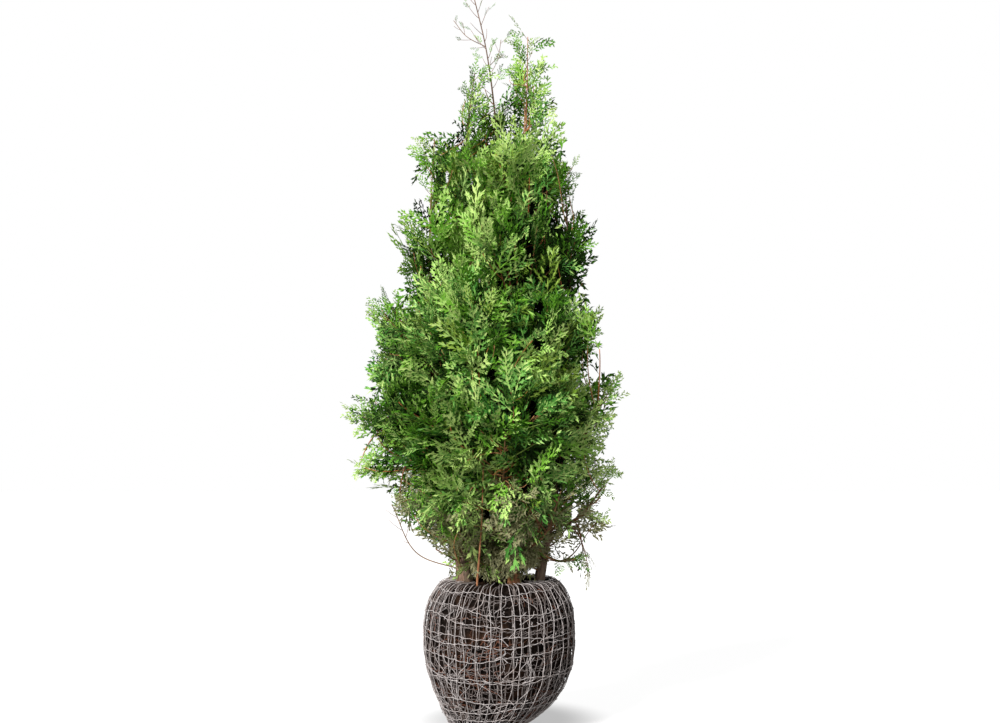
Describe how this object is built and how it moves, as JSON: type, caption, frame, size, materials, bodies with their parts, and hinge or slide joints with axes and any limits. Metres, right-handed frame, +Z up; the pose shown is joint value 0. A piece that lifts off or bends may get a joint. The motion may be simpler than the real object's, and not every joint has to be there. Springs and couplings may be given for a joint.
{
  "type": "thuja on a wire-netted root ball",
  "caption": "Narrow evergreen conifer with several upright stems and flat scaly sprays, standing on a round root ball in wire netting.",
  "frame": {"origin": "on the root ball's flat underside, near its middle", "axes": "+Z up along the stems, +X to the viewer's right of the front, +Y to the back"},
  "size_m": [0.8634, 0.7064, 2.204],
  "materials": {
    "peat": "rough",
    "bark": "rough",
    "young_bark": "satin",
    "wire": "dull galvanised",
    "foliage": "satin"
  },
  "bodies": {
    "root": {"root_ball": "peat", "leader_right": "bark", "stem_back": "bark", "stem_left": "bark", "stem_right": "bark", "trunk": "bark", "bough_back": "young_bark", "bough_front": "young_bark", "bough_front_right": "young_bark", "bough_left": "young_bark", "bough_low_left": "young_bark", "bough_low_right": "young_bark", "bough_right": "young_bark", "bough_right_low": "young_bark", "front_shoot": "young_bark", "shoulder_leader": "young_bark", "top_fork_left": "young_bark", "top_fork_right": "young_bark", "low_back": "foliage", "low_front_left": "foliage", "low_front_right": "foliage", "low_left": "foliage", "low_right": "foliage", "middle_back": "foliage", "middle_back_right": "foliage", "middle_front_left": "foliage", "middle_front_right": "foliage", "middle_left": "foliage", "shoulder_back_left": "foliage", "shoulder_back_right": "foliage", "shoulder_front_left": "foliage", "shoulder_front_right": "foliage", "skirt_back_left": "foliage", "skirt_back_right": "foliage", "skirt_front_left": "foliage", "skirt_front_right": "foliage", "sprig_high_right": "foliage", "sprig_left": "foliage", "sprig_left_hanging": "foliage", "sprig_left_high": "foliage", "sprig_left_low": "foliage", "sprig_right": "foliage", "sprig_right_hanging": "foliage", "sprig_right_low": "foliage", "sprig_right_mid": "foliage", "sprig_shoulder": "foliage", "tuft_back": "foliage", "tuft_left": "foliage", "tuft_right": "foliage", "upper_back": "foliage", "upper_front": "foliage", "upper_left": "foliage", "upper_right": "foliage", "wide_back_left": "foliage", "wide_back_right": "foliage", "wide_front_left": "foliage", "wide_front_right": "foliage", "wide_left": "foliage", "wide_right": "foliage"}
  },
  "joints": []
}
